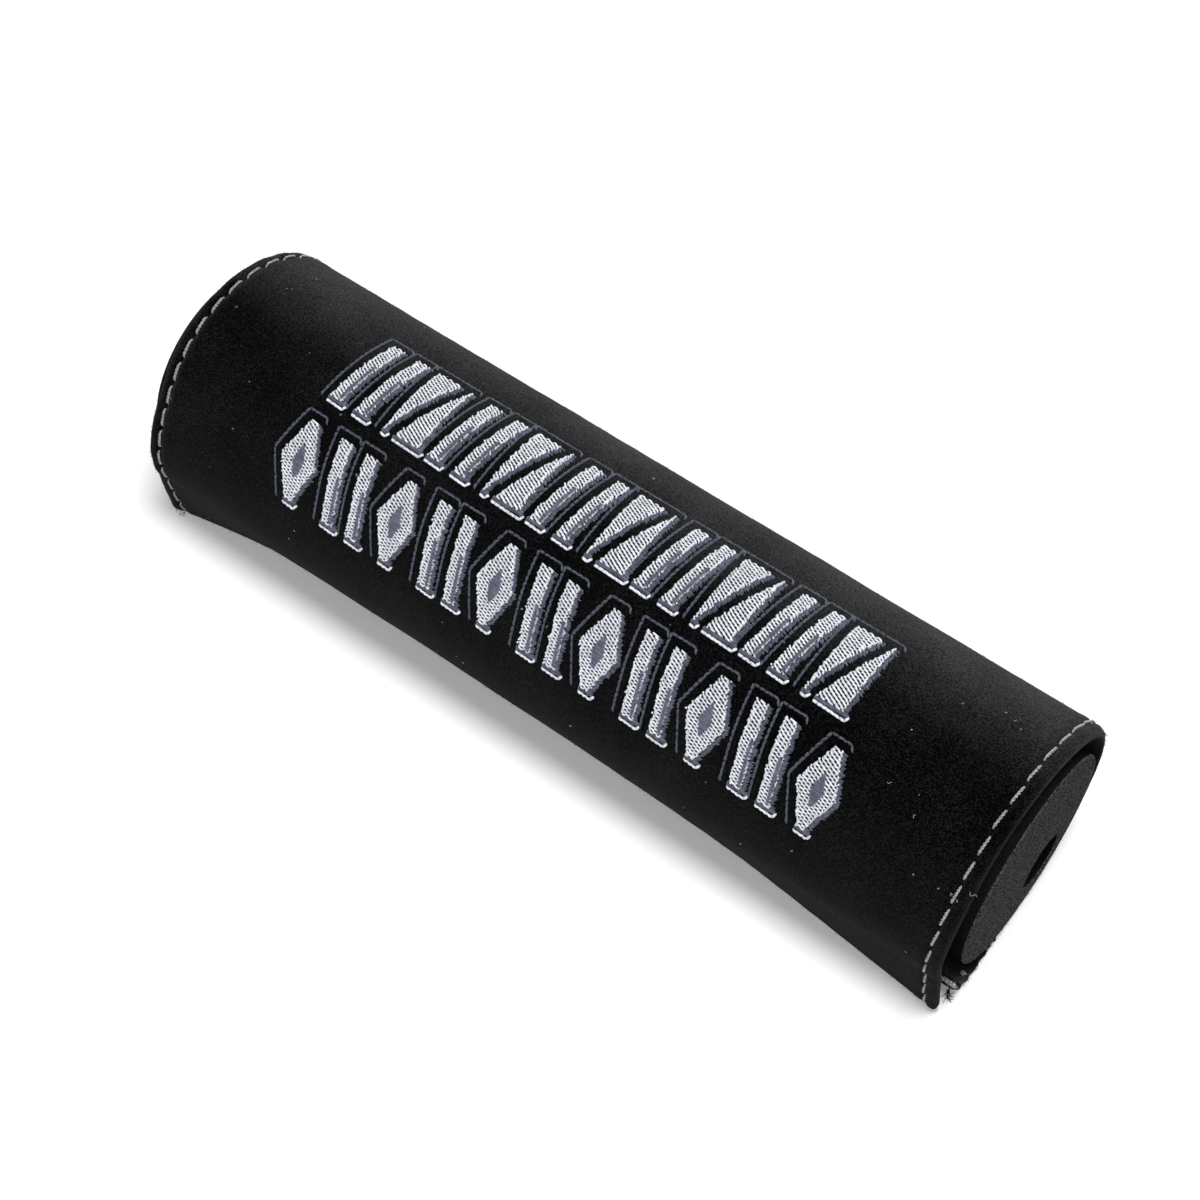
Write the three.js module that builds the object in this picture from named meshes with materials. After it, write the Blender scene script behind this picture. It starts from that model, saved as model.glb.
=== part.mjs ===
// Handlebar pad: a foam tube that goes round the crossbar of a handlebar, in a wrapped cover of suede
// fabric. The cover closes with a pair of hook and loop strips under the front edge, is topstitched
// along both rims, and carries two rows of embroidered bars, wedges and lozenges.
//
// Millimetres. +X runs along the pad, -Y is the front, where the loose edge of the cover hangs, and
// +Z is up. The pad lies on its closure, as it would on a table, and the origin is the middle of its
// footprint on that table.
//
// Places round the pad are angles in degrees about the axis of the cover, seen from +X: 0 is the back,
// 90 the top, 180 the front and 270 the bottom. The cover is one sheet that goes round more than once,
// so its angles are unrolled: they start under the front and grow past 360 to the loose edge.

import * as THREE from 'three';

// Foam tube
const foamLength = 219.4;
const foamRadius = 25.2;
const foamY = -1.6;               // the tube lies low and forward in the roomier cover
const foamZ = -1.1;
const boreRadius = 6.7;
const boreY = 6.6;
const boreZ = -14.2;
const slitWidth = 0.5;

// Cover sheet
const coverLength = 215;
const coverRadius = 29.1;         // outside of the cover where it is round
const coverThickness = 1.8;       // suede face and its turned hem
const edgeRound = 0.8;            // radius of the folded edges
const innerEdge = 217;            // unrolled angle of the hidden edge
const liftStart = 508;            // where the sheet starts to ride over the strips
const liftEnd = 560;
const liftHeight = 3.9;           // how far the outer turn stands off the inner one
const topLine = 450;              // unrolled angle of the top of the outer turn
const looseEdge = 594;            // unrolled angle of the loose edge at mid length
const hangStart = 558;            // where the loose ends of the sheet leave the round
const flareRight = 8.5;           // how far the loose edge stands out at the right rim
const flareLeft = 7.6;
const flareRiseRight = 1.5;       // how late the flare starts on its way to the rim
const flareRiseLeft = 2.2;
const flareSwing = 7.5;           // degrees by which the flare shortens the turn at the rims
const skewStart = 500;            // the sheet is wrapped askew: from here back it slides along X
const skewRun = 120;
const skewSlide = 1.6;
const cornerSpread = 0.8;         // the loose edge is a little longer than the rest
const spreadStart = 550;
const spreadRun = 40;
const rimCurl = 1;                // the hems curl in over the foam, from the back over the top
const curlWidth = 6;
const curlFrom = { start: 300, run: 40 };
const curlTo = { start: 500, run: 60 };

// Ground under the pad, measured from the axis of the cover
const groundDrop = 29.3;

// Hook and loop strips, both of plain 1 mm tape
const loopStart = 219;
const loopEnd = 276;
const loopThickness = 0.8;
const hookWidth = 25;
const hookThickness = 0.9;
const hookInset = 1.2;            // from the loose edge of the cover
const stripInset = 1;              // from the rims
const layerGap = 0.12;            // air between two sewn layers
const hookGap = 0.25;             // the same where the sheet hangs in a sharper curve

// Topstitch along each rim
const stitchInset = 3.2;          // from the rim
const stitchPitch = 6;
const stitchHalfWidth = 0.42;
const stitchHeight = 0.45;
const needleHalfWidth = 0.16;
const needleHeight = 0.12;
const stitchRise = 0.6;           // length over which the thread comes up from the needle hole
const threadGap = 0.1;
const stitchStart = 279;
const stitchEnd = 592;

// Embroidery, in the plane of the sheet: x along the pad, and arc length from the top line forwards
const upperRow = { from: -68, top: -7.5, bottom: 11 };
const lowerRow = { from: -72, top: 17.5, bottom: 37 };
const barWidth = 4.2;
const barLean = 2.4;              // sideways run of a bar from its top to its bottom
const blockWidth = 10.6;
const motifGap = 2.8;
const wedgeGap = 1.9;
const wedgeTip = 1.2;
const lozengeTip = 3;
const motifHeight = 0.6;
const motifGapUnder = 0.12;
const motifSteps = 4;

const degree = Math.PI / 180;

const smooth = (value) => {
  const t = THREE.MathUtils.clamp(value, 0, 1);
  return t * t * (3 - 2 * t);
};

const flare = (x) => {
  const share = Math.min(1, Math.abs(x) / (coverLength / 2));
  return x > 0 ? flareRight * share ** flareRiseRight : flareLeft * share ** flareRiseLeft;
};

// Unrolled angle of the loose edge: the sheet is a rectangle, so where it flares it reaches less far.
const looseAngle = (x) => looseEdge - flareSwing * flare(x) / flareRight;

// How far the hem at a rim curls in towards the axis.
function curl(angle, x) {
  const near = Math.max(0, 1 - (coverLength / 2 - Math.abs(x)) / curlWidth);
  const before = smooth((angle - curlFrom.start) / curlFrom.run);
  const after = smooth((angle - curlTo.start) / curlTo.run);
  return rimCurl * near * near * before * (1 - after);
}

// Distance from the axis to the outside of the cover.
function skinRadius(angle, x) {
  const lift = liftHeight * smooth((angle - liftStart) / (liftEnd - liftStart));
  const hang = Math.max(0, (angle - hangStart) / (looseEdge - flareSwing - hangStart));
  return coverRadius + lift + flare(x) * hang ** 1.5 - curl(angle, x);
}

// How far a place of the sheet is shifted along X.
function slide(angle, x) {
  const skew = skewSlide * smooth((skewStart - angle) / skewRun);
  const spread = cornerSpread * smooth((angle - spreadStart) / spreadRun);
  return skew + spread * x / (coverLength / 2);
}

// A point of the sheet at a depth under its outer face. Layers are pressed flat where they lie on the
// ground, each above the one outside it.
function skinPoint(angle, x, depth) {
  const probe = 0.5;
  const at = (a) => [skinRadius(a, x) * Math.cos(a * degree), skinRadius(a, x) * Math.sin(a * degree)];
  const [y, z] = at(angle);
  const [y0, z0] = at(angle - probe);
  const [y1, z1] = at(angle + probe);
  const run = Math.hypot(y1 - y0, z1 - z0);
  const flat = angle < liftStart ? depth + loopThickness + layerGap - groundDrop : -groundDrop;
  return new THREE.Vector3(
    x + slide(angle, x),
    y - depth * (z1 - z0) / run,
    Math.max(z + depth * (y1 - y0) / run, flat),
  );
}

// How far a face falls away at a distance from a rounded edge.
const edgeFall = (distance) => {
  const inside = Math.max(0, edgeRound - distance);
  return edgeRound - Math.sqrt(edgeRound * edgeRound - inside * inside);
};

// A closed plate over a grid of places: two faces, and a wall all round between them. place(i, j)
// gives the outer and the inner point.
function plate(rows, columns, place) {
  const positions = [];
  const faces = [];
  for (let i = 0; i < rows; i += 1) {
    for (let j = 0; j < columns; j += 1) {
      for (const point of place(i, j)) positions.push(...point.toArray());
    }
  }
  const outer = (i, j) => 2 * (i * columns + j);
  const inner = (i, j) => outer(i, j) + 1;
  const quad = (a, b, c, d) => faces.push(a, b, c, a, c, d);
  for (let i = 0; i + 1 < rows; i += 1) {
    for (let j = 0; j + 1 < columns; j += 1) {
      quad(outer(i, j), outer(i, j + 1), outer(i + 1, j + 1), outer(i + 1, j));
      quad(inner(i, j), inner(i + 1, j), inner(i + 1, j + 1), inner(i, j + 1));
    }
  }
  const last = columns - 1;
  for (let i = 0; i + 1 < rows; i += 1) {
    quad(outer(i, 0), outer(i + 1, 0), inner(i + 1, 0), inner(i, 0));
    quad(outer(i + 1, last), outer(i, last), inner(i, last), inner(i + 1, last));
  }
  for (let j = 0; j < last; j += 1) {
    quad(outer(0, j + 1), outer(0, j), inner(0, j), inner(0, j + 1));
    quad(outer(rows - 1, j), outer(rows - 1, j + 1), inner(rows - 1, j + 1), inner(rows - 1, j));
  }
  const geometry = new THREE.BufferGeometry();
  geometry.setAttribute('position', new THREE.Float32BufferAttribute(positions, 3));
  geometry.setIndex(faces);
  geometry.computeVertexNormals();
  return geometry;
}

// Distances from a folded edge, close together where it is round, and a whole run from edge to edge.
const edgeStart = [0, 0.25, 0.85];
function edgeStops(length, steps) {
  const inset = edgeStart.at(-1);
  const span = length - 2 * inset;
  const middle = Array.from({ length: steps - 1 }, (_, i) => inset + span * (i + 1) / steps);
  return [...edgeStart, ...middle, ...edgeStart.map((d) => length - d).reverse()];
}

// A point of a circle about (y, z).
const ringPoint = (y, z, radius, angle) => (
  new THREE.Vector2(y + radius * Math.cos(angle), z + radius * Math.sin(angle))
);

// Foam tube with its off-centre bore. A slit runs from the bore through the thinnest part of the wall,
// so that the foam can be opened over a bar.
function foamGeometry() {
  const toBore = Math.atan2(boreZ - foamZ, boreY - foamY);
  const outline = [];
  const outerSteps = 60;
  const outerHalf = Math.asin(slitWidth / 2 / foamRadius);
  for (let i = 0; i <= outerSteps; i += 1) {
    const angle = toBore + outerHalf + (2 * Math.PI - 2 * outerHalf) * i / outerSteps;
    outline.push(ringPoint(foamY, foamZ, foamRadius, angle));
  }
  const boreSteps = 28;
  const boreHalf = Math.asin(slitWidth / 2 / boreRadius);
  for (let i = boreSteps; i >= 0; i -= 1) {
    const angle = toBore + boreHalf + (2 * Math.PI - 2 * boreHalf) * i / boreSteps;
    outline.push(ringPoint(boreY, boreZ, boreRadius, angle));
  }
  const settings = { depth: foamLength, bevelEnabled: false };
  const geometry = new THREE.ExtrudeGeometry(new THREE.Shape(outline), settings);
  geometry.translate(0, 0, -foamLength / 2);
  const along = new THREE.Vector3(1, 0, 0);
  const back = new THREE.Vector3(0, 1, 0);
  const up = new THREE.Vector3(0, 0, 1);
  return geometry.applyMatrix4(new THREE.Matrix4().makeBasis(back, up, along));
}

// Places along X, given by their distance from the nearer rim: closer together where the sheet curls.
const flareStops = [3, 6, 10, 20, 32, 48, 68, 92];
const stationsFrom = (stops) => [
  ...stops.map((d) => d - coverLength / 2),
  ...stops.map((d) => coverLength / 2 - d).reverse(),
];

// The wrapped sheet, with soft folded edges all round.
function coverGeometry() {
  const stations = stationsFrom([...edgeStart, ...flareStops]);
  const turn = (looseEdge - innerEdge) * degree * coverRadius;
  const rounds = edgeStops(turn, 52);
  return plate(stations.length, rounds.length, (i, j) => {
    const x = stations[i];
    const angle = innerEdge + (looseAngle(x) - innerEdge) * rounds[j] / turn;
    const toRim = coverLength / 2 - Math.abs(x);
    const toEdge = Math.min(rounds[j], turn - rounds[j]);
    const fall = Math.max(edgeFall(toRim), edgeFall(toEdge));
    return [skinPoint(angle, x, fall), skinPoint(angle, x, coverThickness - fall)];
  });
}

const stripStations = stationsFrom([stripInset, ...flareStops]);

// Loop tape on the outside of the hidden end of the sheet.
function loopGeometry() {
  const steps = 10;
  return plate(stripStations.length, steps + 1, (i, j) => {
    const angle = loopStart + (loopEnd - loopStart) * j / steps;
    const x = stripStations[i];
    return [skinPoint(angle, x, -layerGap - loopThickness), skinPoint(angle, x, -layerGap)];
  });
}

// Hook tape on the inside of the loose end of the sheet.
function hookGeometry() {
  const steps = 12;
  const turn = (hookWidth / (coverRadius + liftHeight)) / degree;
  const inset = (hookInset / (coverRadius + liftHeight)) / degree;
  const top = coverThickness + hookGap;
  return plate(stripStations.length, steps + 1, (i, j) => {
    const x = stripStations[i];
    const angle = looseAngle(x) - inset - turn * (1 - j / steps);
    return [skinPoint(angle, x, top), skinPoint(angle, x, top + hookThickness)];
  });
}

// One rim's topstitch: a single thread that comes up, runs along the fabric and dips at each needle hole.
function topstitchGeometry(x) {
  const pitch = stitchPitch / coverRadius / degree;
  const rise = stitchRise / coverRadius / degree;
  const count = Math.floor((stitchEnd - stitchStart) / pitch);
  const stops = [];
  for (let i = 0; i < count; i += 1) {
    const start = stitchStart + i * pitch;
    stops.push({ angle: start, half: needleHalfWidth, height: needleHeight });
    stops.push({ angle: start + rise, half: stitchHalfWidth, height: stitchHeight });
    stops.push({ angle: start + pitch / 2, half: stitchHalfWidth, height: stitchHeight });
    stops.push({ angle: start + pitch - rise, half: stitchHalfWidth, height: stitchHeight });
  }
  stops.push({ angle: stitchStart + count * pitch, half: needleHalfWidth, height: needleHeight });
  return plate(2, stops.length, (i, j) => {
    const { angle, half, height } = stops[j];
    const place = x + (i === 0 ? -half : half);
    return [skinPoint(angle, place, -threadGap - height), skinPoint(angle, place, -threadGap)];
  });
}

// One embroidered field. sides(u) gives its left and right edge at a share u of the row's height.
function motifGeometry(row, sides) {
  return plate(2, motifSteps + 1, (i, j) => {
    const u = j / motifSteps;
    const arc = row.top + (row.bottom - row.top) * u;
    const angle = topLine + arc / coverRadius / degree;
    const x = sides(u)[i];
    return [skinPoint(angle, x, -motifGapUnder - motifHeight), skinPoint(angle, x, -motifGapUnder)];
  });
}

const forwardBar = (from) => (u) => [from + barLean * (1 - u), from + barLean * (1 - u) + barWidth];

const backwardBar = (from) => (u) => [from + barLean * u, from + barLean * u + barWidth];

const wedgeSpan = blockWidth - wedgeGap - 2 * wedgeTip;

const leftWedge = (from) => (u) => [from, from + wedgeTip + wedgeSpan * (1 - u)];

const rightWedge = (from) => (u) => [from + wedgeTip + wedgeGap + wedgeSpan * (1 - u), from + blockWidth];

const lozenge = (from) => (u) => {
  const half = (lozengeTip + (blockWidth - lozengeTip) * (1 - Math.abs(2 * u - 1))) / 2;
  return [from + blockWidth / 2 - half, from + blockWidth / 2 + half];
};

// The fields that a row is made of, set side by side: each entry gives the next one's distance too.
const barPitch = barWidth + motifGap;
const fields = {
  bar: { sides: forwardBar, pitch: barPitch },
  last_bar: { sides: forwardBar, pitch: barPitch + barLean / 2 },
  back_bar: { sides: backwardBar, pitch: barPitch },
  last_back_bar: { sides: backwardBar, pitch: barPitch + barLean / 2 },
  left_wedge: { sides: leftWedge, pitch: 0 },
  right_wedge: { sides: rightWedge, pitch: blockWidth + motifGap - barLean / 2 },
  lozenge: { sides: lozenge, pitch: blockWidth + motifGap - barLean / 2 },
};

function motifRow(row, order) {
  let from = row.from;
  return order.map((kind) => {
    const geometry = motifGeometry(row, fields[kind].sides(from));
    from += fields[kind].pitch;
    return { kind: kind.replace('last_', ''), geometry };
  });
}

const paint = {
  suede: { color: 0x17181a, roughness: 0.95, metalness: 0 },
  foam: { color: 0x2b2c2e, roughness: 0.9, metalness: 0 },
  tape: { color: 0x1a1b1d, roughness: 0.9, metalness: 0 },
  hooks: { color: 0x232427, roughness: 0.7, metalness: 0 },
  thread: { color: 0xb8bcb8, roughness: 0.6, metalness: 0 },
  floss: { color: 0xd2d4de, roughness: 0.45, metalness: 0 },
};

const pad = new THREE.Group();
const model = new THREE.Group();
pad.add(model);

function addPiece(name, geometry, finish) {
  const mesh = new THREE.Mesh(geometry, new THREE.MeshStandardMaterial(paint[finish]));
  mesh.name = name;
  model.add(mesh);
}

addPiece('foam_core', foamGeometry(), 'foam');
addPiece('cover', coverGeometry(), 'suede');
addPiece('loop_strip', loopGeometry(), 'tape');
addPiece('hook_strip', hookGeometry(), 'hooks');
addPiece('topstitch_right', topstitchGeometry(coverLength / 2 - stitchInset), 'thread');
addPiece('topstitch_left', topstitchGeometry(stitchInset - coverLength / 2), 'thread');

const upperUnit = ['bar', 'last_bar', 'left_wedge', 'right_wedge'];
const lowerUnit = ['lozenge', 'back_bar', 'last_back_bar'];
const repeat = (unit, times) => Array.from({ length: times }, () => unit).flat();
const upper = motifRow(upperRow, repeat(upperUnit, 5));
const lower = motifRow(lowerRow, [...repeat(lowerUnit, 5), 'lozenge']);
for (const [place, row] of Object.entries({ upper, lower })) {
  row.forEach(({ kind, geometry }, i) => {
    addPiece(`${place}_${kind}_${String(i + 1).padStart(2, '0')}`, geometry, 'floss');
  });
}

// The origin goes to the middle of the footprint.
const box = new THREE.Box3().setFromObject(model);
const middle = box.getCenter(new THREE.Vector3());
model.position.set(-middle.x, -middle.y, -box.min.z);

export default pad;
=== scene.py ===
"""Handlebar pad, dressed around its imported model.

A charcoal foam tube in a wrapped sheet of black suede fabric. The sheet closes with hook and loop strips
under its loose front edge, is topstitched along both rims, and carries two rows of embroidered bars, wedges
and lozenges.

Sizes are in millimetres, in the frame's own axes: +X along the pad, -Y the front, +Z up. Places round the pad
are unrolled angles in degrees about the cover's axis: 450 is the top, 540 the front, and the sheet runs from
217, its hidden edge, to 594, its loose edge.
"""

import math

import bpy
import numpy as np
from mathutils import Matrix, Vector


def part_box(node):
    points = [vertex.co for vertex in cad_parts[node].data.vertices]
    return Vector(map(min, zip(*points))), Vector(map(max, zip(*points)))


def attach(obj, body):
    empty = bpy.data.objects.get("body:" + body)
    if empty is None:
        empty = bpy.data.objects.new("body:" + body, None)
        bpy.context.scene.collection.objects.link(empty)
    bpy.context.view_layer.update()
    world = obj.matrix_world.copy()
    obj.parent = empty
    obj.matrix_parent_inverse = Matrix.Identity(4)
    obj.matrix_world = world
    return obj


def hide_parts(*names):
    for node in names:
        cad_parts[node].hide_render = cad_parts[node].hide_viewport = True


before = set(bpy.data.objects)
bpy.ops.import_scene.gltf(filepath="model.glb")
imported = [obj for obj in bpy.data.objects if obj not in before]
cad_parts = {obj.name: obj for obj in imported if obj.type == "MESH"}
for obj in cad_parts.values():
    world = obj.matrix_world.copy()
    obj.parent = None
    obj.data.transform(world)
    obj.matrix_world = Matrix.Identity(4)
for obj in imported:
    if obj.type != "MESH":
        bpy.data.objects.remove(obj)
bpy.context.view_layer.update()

MM = 0.001
SEED = 7
degree = math.pi / 180

# The foam, from the frame, and the cover's axis beside it
foam_low, foam_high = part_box("foam_core")
FOAM_RADIUS = (foam_high.y - foam_low.y) / 2 / MM
FOAM_LENGTH = (foam_high.x - foam_low.x) / MM
FOAM_PLACE = (-1.6, -1.1)
BORE_RADIUS = 6.7
BORE_PLACE = (6.6, -14.2)
SLIT_WIDTH = 0.05
GROUND_DROP = 29.3
FLOOR_CLEARANCE = 0.01
AXIS = np.array([0.0, (foam_high.y + foam_low.y) / 2 / MM - FOAM_PLACE[0], GROUND_DROP])

# The sheet, as it is cut and wrapped
COVER_LENGTH = 215.0
COVER_RADIUS = 29.1
COVER_THICKNESS = 1.8
EDGE_ROUND = 0.8
CORNER_ROUND = 2.8
INNER_EDGE = 217.0
LIFT_START, LIFT_END, LIFT_HEIGHT = 508.0, 560.0, 3.9
TOP_LINE = 450.0
LOOSE_EDGE = 594.0
HANG_START = 558.0
FLARE_RIGHT, FLARE_RISE_RIGHT = 8.5, 1.5  # how far it stands out at the rim, and how late: a power of x
FLARE_LEFT, FLARE_RISE_LEFT = 7.6, 3.2
FLARE_SWING = 7.5  # degrees by which the flare shortens the turn at the rims
SKEW_START, SKEW_RUN, SKEW_SLIDE = 500.0, 120.0, 1.6  # the sheet is wrapped askew, so it slides along x
SPREAD_START, SPREAD_RUN, CORNER_SPREAD = 550.0, 40.0, 0.8  # the loose edge is a little longer
RIM_CURL, CURL_WIDTH = 1.0, 6.0  # the hems curl in over the foam
CURL_FROM, CURL_FROM_RUN = 300.0, 40.0
CURL_TO, CURL_TO_RUN = 500.0, 60.0
EDGE_WAVE, EDGE_WAVE_LENGTH, EDGE_WAVE_PLACE = 2.1, 50.0, 7.0  # height in degrees, length and place in x
EDGE_WAVE_REACH, EDGE_WAVE_FADE = 70.0, 20.0  # the waves end this far from the middle
SAG_START, SAG_RUN = 264.0, 36.0  # the hidden end sags from here back
SAG_HEIGHT, SAG_SHIFT, SAG_SPREAD = 5.4, 6.0, 0.8  # off the foam, in degrees round it, and along x
SAG_PLACE, SAG_REACH, SAG_LEFT = 72.0, 34.0, 0.6  # from here to the rims, and the left rim's share
WADDING_THICKNESS = 1.25

# The strips
LOOP_START, LOOP_END = 219.0, 276.0
LOOP_THICKNESS = 0.8
LOOP_GROUND = 0.4
HOOK_WIDTH = 25.0
HOOK_GROUND = 0.4
HOOK_INSET = 1.2
STRIP_INSET = 1.0
LAYER_GAP = 0.12
HOOK_GAP = 0.25

# The topstitch
STITCH_INSET = 3.2
STITCH_PITCH = 6.0
STITCH_LENGTH = 4.7
PLY_RADIUS = 0.145
PLY_OFFSET = 0.185
PLY_TURN = 1.7
STITCH_START = 279.0
STITCH_END_INSET = 2.2  # degrees from the loose edge
NEEDLE_DEPTH = 0.55
STITCH_RISE = 0.72

# The embroidery, in x and in arc length from the top line forwards
UPPER_ROW = {"from": -68.0, "top": -7.5, "bottom": 11.0}
LOWER_ROW = {"from": -72.0, "top": 17.5, "bottom": 37.0}
BAR_WIDTH = 4.2
BAR_LEAN = 2.4
BLOCK_WIDTH = 10.6
MOTIF_GAP = 2.8
BAR_PITCH = BAR_WIDTH + MOTIF_GAP
LAST_BAR_PITCH = BAR_PITCH + BAR_LEAN / 2
BLOCK_PITCH = BLOCK_WIDTH + MOTIF_GAP - BAR_LEAN / 2
WEDGE_GAP = 1.9
WEDGE_TIP = 1.2
LOZENGE_TIP = 3.0
FLOSS_PITCH = 0.4
FLOSS_STITCH = 1.8
NEEDLE_GAP = 0.27
OUTLINE_SIDE = 1.75
OUTLINE_TOP = 2.0
SHADE_WIDTH = 0.85
SHADE_DROP = 0.85


# Shape of the wrapped sheet


def smooth(value):
    t = np.clip(value, 0, 1)
    return t * t * (3 - 2 * t)


def flare(x):
    share = np.minimum(1, np.abs(x) / (COVER_LENGTH / 2))
    return np.where(x > 0, FLARE_RIGHT * share**FLARE_RISE_RIGHT, FLARE_LEFT * share**FLARE_RISE_LEFT)


def loose_angle(x):
    """Unrolled angle of the loose edge, which hangs in soft waves and swings up towards the rims."""
    wave = EDGE_WAVE * (0.5 + 0.5 * np.cos((x - EDGE_WAVE_PLACE) / EDGE_WAVE_LENGTH * 2 * math.pi))
    share = 1 - smooth((np.abs(x) - EDGE_WAVE_REACH) / EDGE_WAVE_FADE)
    return LOOSE_EDGE - FLARE_SWING * flare(x) / FLARE_RIGHT - wave * share


def sag_share(x):
    """How far the hidden end sags: 0 along the middle, 1 at the right rim and less at the left one."""
    return smooth((np.abs(x) - SAG_PLACE) / SAG_REACH) * np.where(x > 0, 1.0, SAG_LEFT)


def inner_angle(x):
    """Unrolled angle of the hidden edge, which draws back where that end sags off the foam."""
    return INNER_EDGE + SAG_SHIFT * sag_share(x)


def skin_radius(angle, x):
    sag = SAG_HEIGHT * sag_share(x) * smooth((SAG_START - angle) / SAG_RUN)
    lift = LIFT_HEIGHT * smooth((angle - LIFT_START) / (LIFT_END - LIFT_START))
    hang = np.maximum(0, (angle - HANG_START) / (LOOSE_EDGE - FLARE_SWING - HANG_START))
    near = np.maximum(0, 1 - (COVER_LENGTH / 2 - np.abs(x)) / CURL_WIDTH)
    turned = smooth((angle - CURL_FROM) / CURL_FROM_RUN) * (1 - smooth((angle - CURL_TO) / CURL_TO_RUN))
    return COVER_RADIUS + sag + lift + flare(x) * hang**1.5 - RIM_CURL * near**2 * turned


def slide(angle, x):
    """How far the cut of the sheet carries a place along the pad."""
    skew = SKEW_SLIDE * smooth((SKEW_START - angle) / SKEW_RUN)
    hidden = SAG_SPREAD * sag_share(x) * smooth((SAG_START - angle) / SAG_RUN)
    spread = CORNER_SPREAD * smooth((angle - SPREAD_START) / SPREAD_RUN) + hidden
    return skew + spread * x / (COVER_LENGTH / 2)


def skin(angle, x, depth):
    """Points of the sheet at a depth under its outer face, in millimetres in the frame's axes."""
    angle, x, depth = np.broadcast_arrays(*(np.asarray(v, float) for v in (angle, x, depth)))
    probe = 0.5

    def at(a):
        radius = skin_radius(a, x)
        return radius * np.cos(a * degree), radius * np.sin(a * degree)

    y, z = at(angle)
    y0, z0 = at(angle - probe)
    y1, z1 = at(angle + probe)
    run = np.hypot(y1 - y0, z1 - z0)
    flat = np.where(angle < LIFT_START, depth + LOOP_THICKNESS + LAYER_GAP - GROUND_DROP, -GROUND_DROP)
    y = y - depth * (z1 - z0) / run
    z = np.maximum(z + depth * (y1 - y0) / run, flat)
    return np.stack([x + slide(angle, x), y, z], -1) + AXIS


def skin_normal(angle, x):
    out = skin(angle, x, -1.0) - skin(angle, x, 0.0)
    out[..., 0] = 0
    return out / np.linalg.norm(out, axis=-1, keepdims=True)


def panel_angle(arc):
    """Unrolled angle of a place on the front, from its arc length from the top line."""
    return TOP_LINE + np.asarray(arc, float) / COVER_RADIUS / degree


def edge_fall(distance):
    inside = np.maximum(0, EDGE_ROUND - distance)
    return EDGE_ROUND - np.sqrt(EDGE_ROUND**2 - inside**2)


def corner_places(to_rim, to_edge):
    """Distances from the two borders of a square corner, drawn in so that the corner is round."""
    p = np.clip(1 - to_rim / CORNER_ROUND, 0, 1)
    q = np.clip(1 - to_edge / CORNER_ROUND, 0, 1)
    rim = to_rim + CORNER_ROUND * p * (1 - np.sqrt(1 - q * q / 2))
    return rim, to_edge + CORNER_ROUND * q * (1 - np.sqrt(1 - p * p / 2))


def waves(x, y, seed, longest, count=6):
    """A smooth seeded undulation between about -1 and 1, made of a few crossing waves."""
    random = np.random.default_rng(seed)
    total = 0
    for _ in range(count):
        heading = random.uniform(0, 2 * math.pi)
        length = longest * random.uniform(0.55, 1.0)
        phase = random.uniform(0, 2 * math.pi)
        total = total + np.sin((x * math.cos(heading) + y * math.sin(heading)) * 2 * math.pi / length + phase)
    return total / math.sqrt(count) / 1.2


# Mesh makers


def make_mesh(name, points, faces):
    """A smooth-shaded object from points in millimetres and a list of faces, kept above the floor."""
    mesh = bpy.data.meshes.new(name)
    points = np.maximum(np.asarray(points, float).reshape(-1, 3), (-np.inf, -np.inf, FLOOR_CLEARANCE))
    mesh.from_pydata((points * MM).tolist(), [], faces)
    mesh.polygons.foreach_set("use_smooth", [True] * len(mesh.polygons))
    mesh.update()
    piece = bpy.data.objects.new(name, mesh)
    bpy.context.scene.collection.objects.link(piece)
    return piece


def plate(name, outer, inner):
    """A closed plate between two grids of points: two faces and a wall all round."""
    rows, columns = outer.shape[:2]
    points = np.concatenate([outer.reshape(-1, 3), inner.reshape(-1, 3)])
    index = np.arange(rows * columns).reshape(rows, columns)
    under = index + rows * columns
    top = np.stack([index[:-1, :-1], index[:-1, 1:], index[1:, 1:], index[1:, :-1]], -1).reshape(-1, 4)
    bottom = np.stack([under[:-1, :-1], under[1:, :-1], under[1:, 1:], under[:-1, 1:]], -1).reshape(-1, 4)
    ring = np.concatenate([index[:-1, 0], index[-1, :-1], index[:0:-1, -1], index[0, :0:-1]])
    after = np.roll(ring, -1)
    wall = np.stack([ring, after, after + rows * columns, ring + rows * columns], -1)
    return make_mesh(name, points, np.concatenate([top, bottom, wall]).tolist())


def unit(vectors):
    return vectors / (np.linalg.norm(vectors, axis=-1, keepdims=True) + 1e-12)


def tubes(name, lines, normals, radii, sides=6, flatness=1.0):
    """Closed threads along many short lines.

    lines and normals are (threads, points, 3), and radii is (threads, points).
    """
    along = unit(np.gradient(lines, axis=1))
    side = unit(np.cross(along, normals))
    up = np.cross(side, along)
    count, rings = lines.shape[:2]
    turn = np.arange(sides) * 2 * math.pi / sides
    radius = radii[..., None]
    points = (
        lines[:, :, None, :]
        + (radius * np.cos(turn) * flatness)[..., None] * up[:, :, None, :]
        + (radius * np.sin(turn))[..., None] * side[:, :, None, :]
    )
    index = np.arange(count * rings * sides).reshape(count, rings, sides)
    ahead = np.roll(index, -1, axis=2)
    walls = np.stack([index[:, :-1], index[:, 1:], ahead[:, 1:], ahead[:, :-1]], -1).reshape(-1, 4)
    faces = walls.tolist() + index[:, 0].tolist() + index[:, -1, ::-1].tolist()
    return make_mesh(name, points, faces)


def arch(t, ends=0.16):
    """Height of a stitch along its length: 0 at its needle holes, 1 between them."""
    rise = np.minimum(1, np.minimum(t, 1 - t) / ends)
    return 1 - (1 - rise) ** 2


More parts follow.
